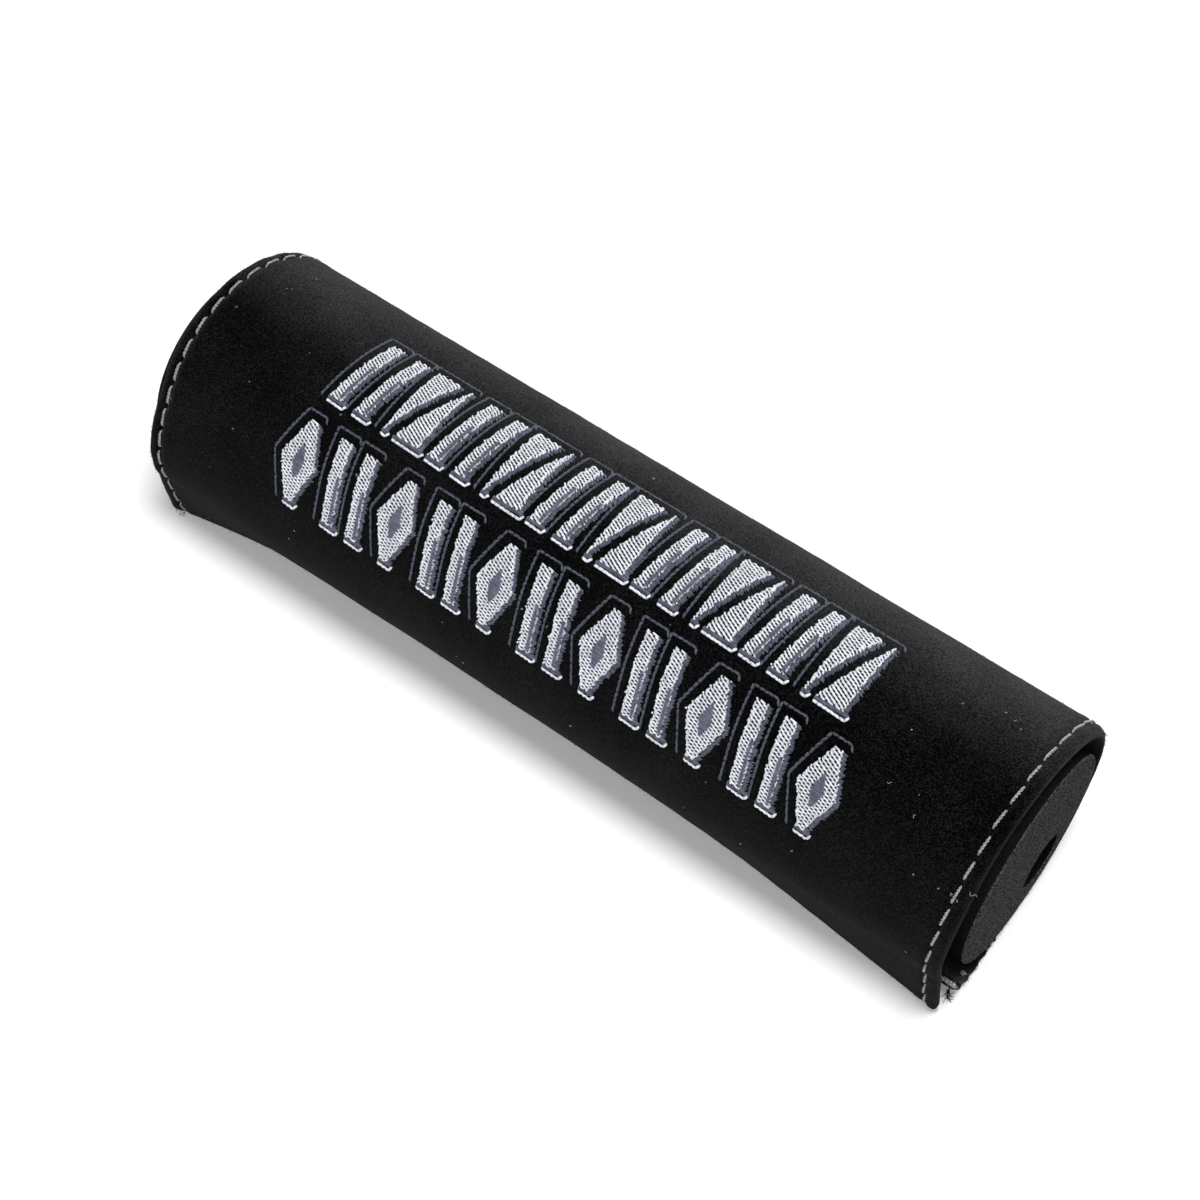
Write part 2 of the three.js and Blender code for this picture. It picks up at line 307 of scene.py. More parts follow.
def hairs(name, roots, headings, lengths, radius, random, bend=0.35, rings=5, sides=3):
    """Fine closed fibres that head outwards from their roots, bend a little and thin towards their tips."""
    count = len(roots)
    t = np.linspace(0, 1, rings)[None, :, None]
    sway = random.normal(0, bend, (count, 1, 3))
    lines = roots[:, None] + np.reshape(lengths, (-1, 1, 1)) * (unit(headings)[:, None] * t + sway * t**2)
    normals = np.broadcast_to(unit(np.cross(headings, random.normal(0, 1, (count, 3))))[:, None], lines.shape)
    radii = radius * (1 - 0.6 * t[..., 0]) * random.uniform(0.75, 1.2, (count, 1))
    return tubes(name, lines, normals, radii, sides=sides)


# Materials. Colours are sRGB hex, and scales are the real size of what repeats.


def srgb(code):
    channels = [int(code[i : i + 2], 16) / 255 for i in (1, 3, 5)]
    return [c / 12.92 if c <= 0.04045 else ((c + 0.055) / 1.055) ** 2.4 for c in channels] + [1.0]


def per_mm(size):
    """Texture scale at which one repeat is this many millimetres."""
    return 1 / (size * MM)


def new_material(name):
    material = bpy.data.materials.new(name)
    material.use_nodes = True
    return material, material.node_tree.nodes["Principled BSDF"]


def add_node(material, kind, settings=(), **inputs):
    """Adds a node. settings are its own properties; each input is a value, or a socket to link from."""
    node = material.node_tree.nodes.new("ShaderNode" + kind)
    for key, value in dict(settings).items():
        setattr(node, key, value)
    for key, value in inputs.items():
        name = key.replace("_", " ")
        sockets = [s for s in node.inputs if s.enabled and s.name == name]
        socket = sockets[0] if sockets else node.inputs[int(key[2:])]
        if isinstance(value, bpy.types.NodeSocket):
            material.node_tree.links.new(value, socket)
        else:
            socket.default_value = value
    return node


def link(material, source, target):
    material.node_tree.links.new(source, target)


def blend_colours(material, factor, low, high, start=0.0, end=1.0):
    """A colour between two hex codes, over a stretch of a 0 to 1 factor."""
    ramp = add_node(material, "ValToRGB", Fac=factor)
    ramp.color_ramp.elements[0].position = start
    ramp.color_ramp.elements[0].color = srgb(low)
    ramp.color_ramp.elements[1].position = end
    ramp.color_ramp.elements[1].color = srgb(high)
    return ramp.outputs["Color"]


def suede_material():
    """Brushed microfibre suede, dyed black.

    Its raised nap speckles it finely, and brushing and handling leave soft clouds. Its colour holds painted
    shade and light: near black where it faces the front and paler where it faces back, as light from behind
    would make it. Its fibre tips catch light at a flat angle.
    """
    material, shader = new_material("brushed_suede")
    coordinates = add_node(material, "TexCoord").outputs
    place = coordinates["Object"]
    nap = add_node(material, "TexNoise", Vector=place, Scale=per_mm(0.36), Detail=2.0, Roughness=0.7)
    tufts = add_node(material, "TexNoise", Vector=place, Scale=per_mm(0.9), Detail=3.0, Roughness=0.6)
    clouds = add_node(material, "TexNoise", Vector=place, Scale=per_mm(22), Detail=3.0, Roughness=0.55)
    fine = add_node(material, "Mix", {"data_type": "FLOAT"}, Factor=0.15, A=nap.outputs["Fac"],
                    B=tufts.outputs["Fac"])
    clouded = add_node(material, "Mix", {"data_type": "FLOAT"}, Factor=0.18, A=fine.outputs[0],
                       B=clouds.outputs["Fac"])
    shade = clouded.outputs[0]
    # Painted shade and light: a near black colour for faces towards the front, a paler one for faces towards
    # the back
    front_painted_shade = blend_colours(material, shade, "#010101", "#252627", 0.48, 0.71)
    along = blend_colours(material, shade, "#0A0A0B", "#555556", 0.4, 0.68)
    backwards = add_node(material, "SeparateXYZ", Vector=coordinates["Normal"]).outputs["Y"]
    # How much of the paler, painted light colour to use, by how far the face turns towards the back
    lie = add_node(material, "MapRange", Value=backwards, From_Min=-0.15, From_Max=0.9).outputs[0]
    colour = add_node(material, "Mix", {"data_type": "RGBA"}, Factor=lie)
    link(material, front_painted_shade, colour.inputs[6])
    link(material, along, colour.inputs[7])
    link(material, colour.outputs[2], shader.inputs["Base Color"])
    shader.inputs["Roughness"].default_value = 0.8
    shader.inputs["Specular IOR Level"].default_value = 0.0
    shader.inputs["Sheen Weight"].default_value = 0.07
    shader.inputs["Sheen Roughness"].default_value = 0.48
    shader.inputs["Sheen Tint"].default_value = srgb("#FAFAFC")
    bump = add_node(material, "Bump", Strength=1.0, Distance=0.22 * MM, Height=nap.outputs["Fac"])
    link(material, bump.outputs["Normal"], shader.inputs["Normal"])
    return material


def foam_material():
    """Closed-cell rubber foam.

    The moulded skin on its side and in its bore is smooth and near black, and the knife-cut ends show opened
    cells, which speckle a charcoal face.
    """
    material, shader = new_material("cut_closed_cell_foam")
    place = add_node(material, "TexCoord").outputs["Object"]
    cells = add_node(material, "TexVoronoi", Vector=place, Scale=per_mm(0.35), Randomness=1.0)
    noise = add_node(material, "TexNoise", Vector=place, Scale=per_mm(0.45), Detail=2.0, Roughness=0.7)
    cloud = noise.outputs["Fac"]
    mix = add_node(material, "Mix", {"data_type": "FLOAT"}, Factor=0.55, A=cells.outputs["Distance"], B=cloud)
    speckle = mix.outputs[0]
    face = blend_colours(material, speckle, "#090909", "#4F4F4E", 0.42, 0.56)
    skin_colour = blend_colours(material, cloud, "#0B0B0C", "#161617", 0.35, 0.65)
    along = add_node(material, "SeparateXYZ", Vector=place).outputs["X"]
    off_middle = add_node(material, "Math", {"operation": "ABSOLUTE"}, n_0=along).outputs[0]
    half = FOAM_LENGTH / 2
    cut = add_node(material, "MapRange", Value=off_middle, From_Min=(half - 0.5) * MM,
                   From_Max=(half - 0.35) * MM)
    colour = add_node(material, "Mix", {"data_type": "RGBA"}, Factor=cut.outputs[0])
    link(material, skin_colour, colour.inputs[6])
    link(material, face, colour.inputs[7])
    link(material, colour.outputs[2], shader.inputs["Base Color"])
    shader.inputs["Roughness"].default_value = 0.8
    shader.inputs["Specular IOR Level"].default_value = 0.0
    bump = add_node(material, "Bump", Strength=0.6, Distance=0.1 * MM, Height=speckle)
    link(material, bump.outputs["Normal"], shader.inputs["Normal"])
    return material


def thread_material(name, dark, light, roughness, sheen, lie=(2.4, 0.42, 0.42)):
    """Threads and fluff of fine filaments: floss with a satin glint, sewing thread, wadding or lint.

    Neighbouring threads differ a little in shade, over the lengths and spacings that lie gives in mm.
    """
    material, shader = new_material(name)
    place = add_node(material, "TexCoord").outputs["Object"]
    spread = add_node(material, "Mapping", Vector=place, Scale=[per_mm(size) for size in lie]).outputs[0]
    shade = add_node(material, "TexNoise", Vector=spread, Scale=1.0, Detail=1.0).outputs["Fac"]
    link(material, blend_colours(material, shade, dark, light, 0.32, 0.68), shader.inputs["Base Color"])
    shader.inputs["Roughness"].default_value = roughness
    shader.inputs["Specular IOR Level"].default_value = 0.5
    shader.inputs["Sheen Weight"].default_value = sheen
    shader.inputs["Sheen Roughness"].default_value = 0.4
    return material


def tape_material(name, dark, light, weave):
    """Dull black textile: woven or brushed nylon tape, or loose fibres, mottled at the size of its weave."""
    material, shader = new_material(name)
    place = add_node(material, "TexCoord").outputs["Object"]
    ground = add_node(material, "TexNoise", Vector=place, Scale=per_mm(weave), Detail=2.0).outputs["Fac"]
    link(material, blend_colours(material, ground, dark, light, 0.35, 0.65), shader.inputs["Base Color"])
    shader.inputs["Roughness"].default_value = 0.8
    shader.inputs["Specular IOR Level"].default_value = 0.02
    shader.inputs["Sheen Weight"].default_value = 0.08
    bump = add_node(material, "Bump", Strength=0.7, Distance=0.2 * MM, Height=ground)
    link(material, bump.outputs["Normal"], shader.inputs["Normal"])
    return material


def finish_piece(piece, material):
    piece.data.materials.append(material)
    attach(piece, "root")
    return piece


# Topstitch places, which also pinch the hems


def arc_table(x, start, end):
    """Arc length along the outer face at a place x, for a run of unrolled angles."""
    angles = np.linspace(start, end, 2400)
    points = skin(angles, x, 0.0)
    run = np.concatenate([[0], np.cumsum(np.linalg.norm(np.diff(points, axis=0), axis=1))])
    return angles, run


def needle_holes(side):
    """Unrolled angles of one rim's needle holes, spaced evenly from the loose edge back."""
    x = side * (COVER_LENGTH / 2 - STITCH_INSET)
    end = float(loose_angle(np.array(x))) - STITCH_END_INSET
    angles, run = arc_table(x, STITCH_START, end)
    return np.interp(np.arange(run[-1], 0, -STITCH_PITCH), run, angles)


def pinch(side, angle):
    """1 at a needle hole and 0 halfway between two."""
    holes = needle_holes(side)[::-1]
    return np.cos(math.pi * np.interp(angle, holes, np.arange(len(holes)))) ** 2


# Cover


def rim_relief(to_rim, pinched):
    """How a sewn hem changes the outer face: puffed on both sides of the groove that its stitches pull."""
    groove = (0.3 + 0.25 * pinched) * np.exp(-(((to_rim - STITCH_INSET) / 0.6) ** 2))
    roll = (0.5 - 0.16 * pinched) * np.sin(np.pi * np.clip(to_rim / STITCH_INSET, 0, 1)) ** 0.8
    inside = (0.16 - 0.06 * pinched) * np.exp(-(((to_rim - STITCH_INSET - 1.7) / 1.1) ** 2))
    return groove - roll - inside


def make_cover(material):
    """The wrapped sheet, with turned hems, soft waves, folded edges and round corners at its loose edge."""
    near = np.array([0, 0.12, 0.3, 0.55, 0.85, 1.2, 1.6, 2.0, 2.4, 2.7, 2.95, 3.2, 3.45, 3.7, 4.0, 4.5, 5.2,
                     6.0])
    x_middle = np.linspace(near[-1], COVER_LENGTH - near[-1], 168)[1:-1]
    to_left = np.concatenate([near, x_middle, COVER_LENGTH - near[::-1]])
    turn = (LOOSE_EDGE - INNER_EDGE) * degree * COVER_RADIUS
    edge = np.array([0, 0.12, 0.3, 0.55, 0.85, 1.3, 1.8, 2.4])
    t_middle = np.linspace(edge[-1], turn - edge[-1], 200)[1:-1]
    s = np.concatenate([edge, t_middle, turn - edge[::-1]])[None, :]
    to_rim = np.minimum(to_left, COVER_LENGTH - to_left)[:, None]
    side = np.sign(to_left - COVER_LENGTH / 2)[:, None]
    fall = np.maximum(edge_fall(to_rim), edge_fall(np.minimum(s, turn - s)))
    rim_place, edge_place = corner_places(to_rim, turn - s)
    x = side * (COVER_LENGTH / 2 - rim_place)
    along = turn - edge_place
    angle = inner_angle(x) + (loose_angle(x) - inner_angle(x)) * along / turn
    away = smooth(np.minimum(to_rim, 30) / 30) * smooth((angle - 300) / 40)
    soft = (0.07 * waves(x, along, SEED, 46) + 0.03 * waves(x, along, SEED + 1, 11)) * away
    pinched = np.where(side > 0, pinch(1, angle), pinch(-1, angle))
    sewn = smooth((angle - STITCH_START) / 10)
    loose_hem = 0.35 * np.exp(-(((turn - s - 1.7) / 1.2) ** 2))
    puff = 0.1 * waves(x, along, SEED + 5, 9) * np.exp(-((to_rim / 3.0) ** 2)) * sewn
    relief = rim_relief(to_rim, pinched) * sewn * smooth((turn - s) / 2) - loose_hem + puff
    cut = 0.3 * waves(along, 0 * x, SEED + 6, 2.6, count=5) * np.exp(-((to_rim / 0.7) ** 2)) * (1 - sewn)
    outer = skin(angle, x + side * cut, fall + relief + soft)
    inner = skin(angle, x + side * cut, COVER_THICKNESS - fall + np.minimum(0, relief) * 0.4)
    cover = plate("cover_sheet", outer, inner)
    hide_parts("cover")
    finish_piece(cover, material)
    return cover


def make_nap(material):
    """Raised fibres on the suede: thin on the open face, dense along the rolled rims and the loose edge."""
    random = np.random.default_rng(SEED + 40)
    spread, rims, hem = 3000, 1300, 600
    x = random.uniform(-COVER_LENGTH / 2 + 4, COVER_LENGTH / 2 - 4, spread)
    angle = random.uniform(320, 590, spread)
    rim_side = random.choice([-1, 1], rims)
    x = np.concatenate([x, rim_side * (COVER_LENGTH / 2 - random.uniform(0.05, 1.0, rims))])
    angle = np.concatenate([angle, random.uniform(290, 586, rims)])
    hem_x = random.uniform(-103, 103, hem)
    x = np.concatenate([x, hem_x])
    angle = np.concatenate([angle, loose_angle(hem_x) - random.uniform(0.3, 2.6, hem)])
    depth = edge_fall(np.maximum(0, COVER_LENGTH / 2 - np.abs(x))) - 0.1
    out = skin_normal(angle, x)
    lie = random.normal(0, 1.0, (len(x), 3))
    lie -= out * np.sum(lie * out, axis=1, keepdims=True)
    outwards = np.exp(-((COVER_LENGTH / 2 - np.abs(x)) / 0.6)) * np.sign(x)
    headings = out * 0.45 + lie * 0.8
    headings[:, 0] += outwards * 1.2
    lengths = random.uniform(0.35, 0.8, len(x))
    # The fibres are real, but their colour, paler than the suede, is a painted highlight on the rims and
    # loose edge
    nap = hairs("raised_nap", skin(angle, x, depth), headings, lengths, 0.035, random, rings=3)
    return finish_piece(nap, material)


# Foam


def make_foam(material):
    """The foam tube: cut faces with slightly rounded rims, and a bore with a closed slit beside it."""
    rounds = 160
    centre = np.array(FOAM_PLACE)
    to_bore = np.array(BORE_PLACE) - centre
    slit_turn = math.atan2(to_bore[1], to_bore[0])
    half = FOAM_LENGTH / 2
    corner = 0.5
    rim_start = 1 - corner / (FOAM_RADIUS - BORE_RADIUS)
    face = [(w, half) for w in np.linspace(0.02, rim_start, 26)]
    bends = (0.4, 0.8, 1.2, 1.57)
    rim = [(rim_start + (1 - rim_start) * math.sin(a), half - corner * (1 - math.cos(a))) for a in bends]
    side = [(1.0, p) for p in np.linspace(half - 2.0, 0, 12)]
    right = face + rim + side
    left = [(w, -p) for w, p in right[-2::-1]]
    bore = [(0.0, p) for p in np.linspace(-half + 0.4, half - 0.4, 16)]
    profile = np.array(right + left + bore)
    weight, along = profile[:, 0][None, :], profile[:, 1][None, :]

    half_slit = np.arcsin(SLIT_WIDTH / 2 / np.array([BORE_RADIUS, FOAM_RADIUS]))
    share = np.linspace(0, 1, rounds)[:, None]
    turn = np.array([slit_turn + h + (2 * math.pi - 2 * h) * share for h in half_slit])
    y = (BORE_PLACE[0] + BORE_RADIUS * np.cos(turn[0])) * (1 - weight)
    y = y + (centre[0] + FOAM_RADIUS * np.cos(turn[1])) * weight
    z = (BORE_PLACE[1] + BORE_RADIUS * np.sin(turn[0])) * (1 - weight)
    z = z + (centre[1] + FOAM_RADIUS * np.sin(turn[1])) * weight
    at_face = np.abs(along) > half - 0.01
    x = along - np.sign(along) * at_face * (0.05 + 0.04 * waves(y, z, SEED + 2, 16))
    points = np.stack([np.broadcast_to(x, y.shape), y, z], -1) + AXIS
    columns = points.shape[1]
    index = np.arange(rounds * columns).reshape(rounds, columns)
    ahead = np.roll(index, -1, axis=1)
    walls = np.stack([index[:-1], index[1:], ahead[1:], ahead[:-1]], -1).reshape(-1, 4)
    faces = walls.tolist() + [index[0].tolist(), index[-1, ::-1].tolist()]
    foam = make_mesh("foam_tube", points, faces)
    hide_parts("foam_core")
    finish_piece(foam, material)
    return foam


# Strips


def loop_angle(share, x):
    """Unrolled angle across the loop strip, which is sewn along the hidden edge."""
    start = LOOP_START + inner_angle(x) - INNER_EDGE
    return start + (LOOP_END - start) * share


def make_loop_tape(material):
    """The loop strip's knitted ground, sewn to the outside of the sheet's hidden end."""
    steps_x, steps_t = 150, 24
    x = np.linspace(-COVER_LENGTH / 2 + STRIP_INSET, COVER_LENGTH / 2 - STRIP_INSET, steps_x)[:, None]
    angle = loop_angle(np.linspace(0, 1, steps_t)[None, :], x)
    nap = 0.06 * waves(x, angle, SEED + 3, 3.5, count=9)
    outer = skin(angle, x, -LAYER_GAP - LOOP_GROUND + nap)
    inner = skin(angle, x, -LAYER_GAP + 0 * nap)
    tape = plate("loop_tape", outer, inner)
    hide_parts("loop_strip")
    return finish_piece(tape, material)


def make_loop_pile(material):
    """The loops of that strip: small soft arches of filament that lean every way."""
    random = np.random.default_rng(SEED + 50)
    count = 1800
    reach = COVER_LENGTH / 2 - STRIP_INSET - 0.4
    x = random.uniform(-reach, reach, (count, 1))
    angle = loop_angle(random.uniform(0.02, 0.98, (count, 1)), x)
    t = np.linspace(0, 1, 6)[None, :]
    heading = random.uniform(0, 2 * math.pi, (count, 1))
    span = random.uniform(0.7, 1.3, (count, 1))
    x_run = x + np.cos(heading) * span * (t - 0.5)
    angle_run = angle + np.sin(heading) * span * (t - 0.5) / COVER_RADIUS / degree
    rise = (LOOP_THICKNESS - LOOP_GROUND - 0.06) * np.sin(math.pi * t) * random.uniform(0.7, 1.0, (count, 1))
    lines = skin(angle_run, x_run, -LAYER_GAP - LOOP_GROUND + 0.05 - rise)
    pile = tubes("loop_pile", lines, skin_normal(angle_run, x_run), np.full((count, 6), 0.045), sides=3)
    return finish_piece(pile, material)


def hook_turn(length):
    return length / (COVER_RADIUS + LIFT_HEIGHT) / degree


def make_hook_tape(material):
    """The hook strip's woven ground, sewn inside the loose end of the sheet."""
    steps_x, steps_t = 150, 20
    x = np.linspace(-COVER_LENGTH / 2 + STRIP_INSET, COVER_LENGTH / 2 - STRIP_INSET, steps_x)[:, None]
    share = np.linspace(0, 1, steps_t)[None, :]
    angle = loose_angle(x) - hook_turn(HOOK_INSET) - hook_turn(HOOK_WIDTH) * (1 - share)
    top = COVER_THICKNESS + HOOK_GAP
    tape = plate("hook_tape", skin(angle, x, top), skin(angle, x, top + HOOK_GROUND))
    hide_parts("hook_strip")
    return finish_piece(tape, material)


def make_hooks(material):
    """Rows of small hooks on that ground, bent to one side and the other by turns."""
    pitch = 1.8
    rows = int((HOOK_WIDTH - 2) / pitch)
    columns = int((COVER_LENGTH - 2 * STRIP_INSET - 2) / pitch)
    row, column = np.meshgrid(np.arange(rows), np.arange(columns), indexing="ij")
    x = (column.reshape(-1, 1) - (columns - 1) / 2) * pitch
    back = hook_turn(HOOK_INSET + 1.2 + row.reshape(-1, 1) * pitch)
    bent = np.where(row.reshape(-1, 1) % 2, 1.0, -1.0)
    profile = np.array([(0, 0), (0, 0.22), (0.04, 0.36), (0.16, 0.44), (0.27, 0.38), (0.3, 0.28)])
    x_run = x + bent * profile[None, :, 0]
    angle = np.broadcast_to(loose_angle(x) - back, x_run.shape)
    depth = COVER_THICKNESS + HOOK_GAP + HOOK_GROUND - 0.02 + profile[None, :, 1]
    lines = skin(angle, x_run, depth)
    across = np.gradient(lines, axis=1)[:, :, [0, 2, 1]] * [1, -1, 1]
    hooks = tubes("hook_rows", lines, unit(across + 1e-6), np.full(x_run.shape, 0.1), sides=3)
    return finish_piece(hooks, material)


# Topstitch


def make_topstitch(side, material):
    """One rim's lockstitch in two-ply thread. Each stitch rises from a hole, lies on the hem and dives."""
    x0 = side * (COVER_LENGTH / 2 - STITCH_INSET)
    random = np.random.default_rng(SEED + 10 + side)
    holes = needle_holes(side)
    share = STITCH_LENGTH / STITCH_PITCH
    t = np.linspace(0, 1, 52)
    starts, ends = holes[:-1], holes[:-1] + (holes[1:] - holes[:-1]) * share
    angle = starts[:, None] + (ends - starts)[:, None] * t[None, :]
    slant = 0.3 * (t[None, :] - 0.5) + random.normal(0, 0.06, (len(starts), 1))
    x = np.full_like(angle, x0) + side * slant
    height = -NEEDLE_DEPTH + STITCH_RISE * arch(t, 0.2)[None, :] + random.normal(0, 0.02, (len(starts), 1))
    middle = skin(angle, x, -height)
    normals = skin_normal(angle, x)
    across = unit(np.cross(unit(np.gradient(middle, axis=1)), normals))
    steps = np.linalg.norm(np.diff(middle, axis=1, prepend=middle[:, :1]), axis=-1)
    run = np.cumsum(steps, axis=1)[..., None]
    slim = 0.5 + 0.5 * arch(t, 0.22)[None, :, None]
    lines = []
    for start in (0, math.pi):
        turn = run / PLY_TURN * 2 * math.pi + start
        lines.append(middle + PLY_OFFSET * slim * (np.cos(turn) * normals * 0.85 + np.sin(turn) * across))
    radii = np.tile(PLY_RADIUS * slim[..., 0] * random.uniform(0.93, 1.07, (len(starts), 1)), (2, 1))
    name = "topstitch_" + ("right" if side > 0 else "left")
    piece = tubes(name + "_thread", np.concatenate(lines), np.tile(normals, (2, 1, 1)), radii, sides=6)
    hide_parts(name)
    return finish_piece(piece, material)


# Embroidery


def field_sides(kind, start):
    """Left and right edge of an embroidered field at a share u of its height, 0 at its top."""
    span = BLOCK_WIDTH - WEDGE_GAP - 2 * WEDGE_TIP
    if kind == "bar":
        return lambda u: (start + BAR_LEAN * (1 - u), start + BAR_LEAN * (1 - u) + BAR_WIDTH)
    if kind == "back_bar":
        return lambda u: (start + BAR_LEAN * u, start + BAR_LEAN * u + BAR_WIDTH)
    if kind == "left_wedge":
        return lambda u: (start + 0 * u, start + WEDGE_TIP + span * (1 - u))
    if kind == "right_wedge":
        return lambda u: (start + WEDGE_TIP + WEDGE_GAP + span * (1 - u), start + BLOCK_WIDTH + 0 * u)
    middle = start + BLOCK_WIDTH / 2
    half = lambda u: (LOZENGE_TIP + (BLOCK_WIDTH - LOZENGE_TIP) * (1 - abs(2 * u - 1))) / 2
    return lambda u: (middle - half(u), middle + half(u))


def embroidered_fields():
    """Every field of both rows, in order, with the node that it stands for."""
    pitches = {"bar": BAR_PITCH, "back_bar": BAR_PITCH, "left_wedge": 0.0, "right_wedge": BLOCK_PITCH,
               "lozenge": BLOCK_PITCH}
    upper = ["bar", "last_bar", "left_wedge", "right_wedge"] * 5
    lower = ["lozenge", "back_bar", "last_back_bar"] * 5 + ["lozenge"]
    found = []
    for name, row, kinds in (("upper", UPPER_ROW, upper), ("lower", LOWER_ROW, lower)):
        start = row["from"]
        for number, kind in enumerate(kinds, 1):
            last = kind.startswith("last_")
            kind = kind.removeprefix("last_")
            node = f"{name}_{kind}_{number:02d}"
            found.append({"node": node, "row": name, "kind": kind, "top": row["top"], "bottom": row["bottom"],
                          "sides": field_sides(kind, start)})
            start += LAST_BAR_PITCH if last else pitches[kind]
    return found


def stitched(name, runs, radius, lift, material, rings=7, sides=6, sink=0.25, flatness=0.8):
    """Threads from runs of (x0, arc0, x1, arc1): each rises to its lift and sinks at both ends."""
    runs = np.asarray(runs, float)
    t = 0.5 - 0.5 * np.cos(np.linspace(0, math.pi, rings))
    x = runs[:, 0, None] + (runs[:, 2] - runs[:, 0])[:, None] * t
    arc = runs[:, 1, None] + (runs[:, 3] - runs[:, 1])[:, None] * t
    length = np.hypot(runs[:, 2] - runs[:, 0], runs[:, 3] - runs[:, 1])
    rise = arch(t[None, :], np.clip(0.27 / length, 0.1, 0.5)[:, None])
    random = np.random.default_rng(SEED + 20)
    height = -sink + (lift + sink) * rise + random.normal(0, 0.02, (len(runs), 1))
    angle = panel_angle(arc)
    radii = radius * (0.6 + 0.4 * rise) * random.uniform(0.92, 1.08, (len(runs), 1))
    piece = tubes(name, skin(angle, x, -height), skin_normal(angle, x), radii, sides=sides, flatness=flatness)
    return finish_piece(piece, material)


def fill_runs(field, random):
    """Tatami filling: level threads from side to side.

    Each line's needle holes lie halfway between those of the line above, so the holes show as a grid of dots.
    """
    top, bottom = field["top"], field["bottom"]
    lines = int((bottom - top) / FLOSS_PITCH)
    runs, ends = [], []
    for i in range(lines):
        u = (i + 0.5) / lines
        arc = top + (bottom - top) * u
        left, right = (float(v) for v in field["sides"](u))
        left += random.uniform(-0.05, 0.4)
        right += random.uniform(-0.8, -0.3)
        offset = (0.25, 0.75)[i % 2] * FLOSS_STITCH
        first = math.ceil((left - offset) / FLOSS_STITCH) * FLOSS_STITCH + offset
        holes = [h + random.uniform(-0.1, 0.1) for h in np.arange(first, right, FLOSS_STITCH)]
        holes = [left] + [h for h in holes if left + 0.45 < h < right - 0.45] + [right]
        tilt = 0.12
        runs += [(a + NEEDLE_GAP, arc - tilt, b - NEEDLE_GAP, arc + tilt) for a, b in zip(holes, holes[1:])]
        ends.append((right, arc))
    return runs, ends


def shade_runs(field, ends, random):
    """Slate threads that carry the filling on to the right, and short ones under its lower edge."""
    runs = []
    for right, arc in ends:
        reach = right + SHADE_WIDTH + random.uniform(-0.2, 0.2)
        runs.append((right - random.uniform(0.0, 0.5), arc + 0.15, reach, arc + 0.3))
    left, right = (float(v) for v in field["sides"](1.0))
    bottom = field["bottom"]
    count = max(2, int((right + SHADE_WIDTH - left) / FLOSS_PITCH))
    for i in range(count):
        x = left + 0.2 + (right + SHADE_WIDTH * 0.6 - left - 0.2) * i / (count - 1)
        start = bottom - random.uniform(0.05, 0.4)
        end = bottom + SHADE_DROP + random.uniform(-0.1, 0.1)
        runs.append((x, start, x + 0.15, end))
    return runs


def along_line(points, stitch, random, wander=0.05):
    """Running stitches along a broken line of (x, arc) corners."""
    runs = []
    for (x0, a0), (x1, a1) in zip(points, points[1:]):
        count = max(1, round(math.hypot(x1 - x0, a1 - a0) / stitch))
        for i in range(count):
            f, g = (i + 0.04) / count, (i + 0.96) / count
            jog = random.uniform(-wander, wander)
            first = (x0 + (x1 - x0) * f + jog, a0 + (a1 - a0) * f)
            last = (x0 + (x1 - x0) * g - jog, a0 + (a1 - a0) * g)
            runs.append(first + last)
    return runs


def outline_points(field, right_side):
    """The outline of a field: up its left side, along its top and a little way down the right."""
    top, bottom, sides = field["top"], field["bottom"], field["sides"]
    left = [(float(sides(u)[0]) - OUTLINE_SIDE, top + (bottom - top) * u) for u in (1.0, 0.5, 0.0)]
    left[0] = (left[0][0], bottom + 0.8)
    left[-1] = (left[-1][0], top - OUTLINE_TOP)
    right = float(right_side(0.0)[1])
    return left + [(right + 0.1, top - OUTLINE_TOP), (right + 0.7, top - OUTLINE_TOP + 1.3)]


def inner_runs(field, random):
    """Slate satin over the filling: a small lozenge in each lozenge, and a narrow column down each bar."""
    top, bottom, sides = field["top"], field["bottom"], field["sides"]
    column = (0.42, 0.97, 0.68, 0.45)
    spans = {"lozenge": (0.3, 0.7, 0.5, 1.7), "bar": column, "back_bar": column}
    if field["kind"] not in spans:
        return []
    start, end, share, width = spans[field["kind"]]
    runs = []
    for u in np.arange(start, end, FLOSS_PITCH / (bottom - top)):
        left, right = (float(v) for v in sides(u))
        middle = left * (1 - share) + right * share
        taper = 1 - abs(2 * (u - start) / (end - start) - 1) if field["kind"] == "lozenge" else 1
        half = 0.3 + (width - 0.3) * taper + random.uniform(-0.12, 0.12)
        arc = top + (bottom - top) * u
        runs.append((middle - half, arc - 0.1, middle + half, arc + 0.1))
    return runs


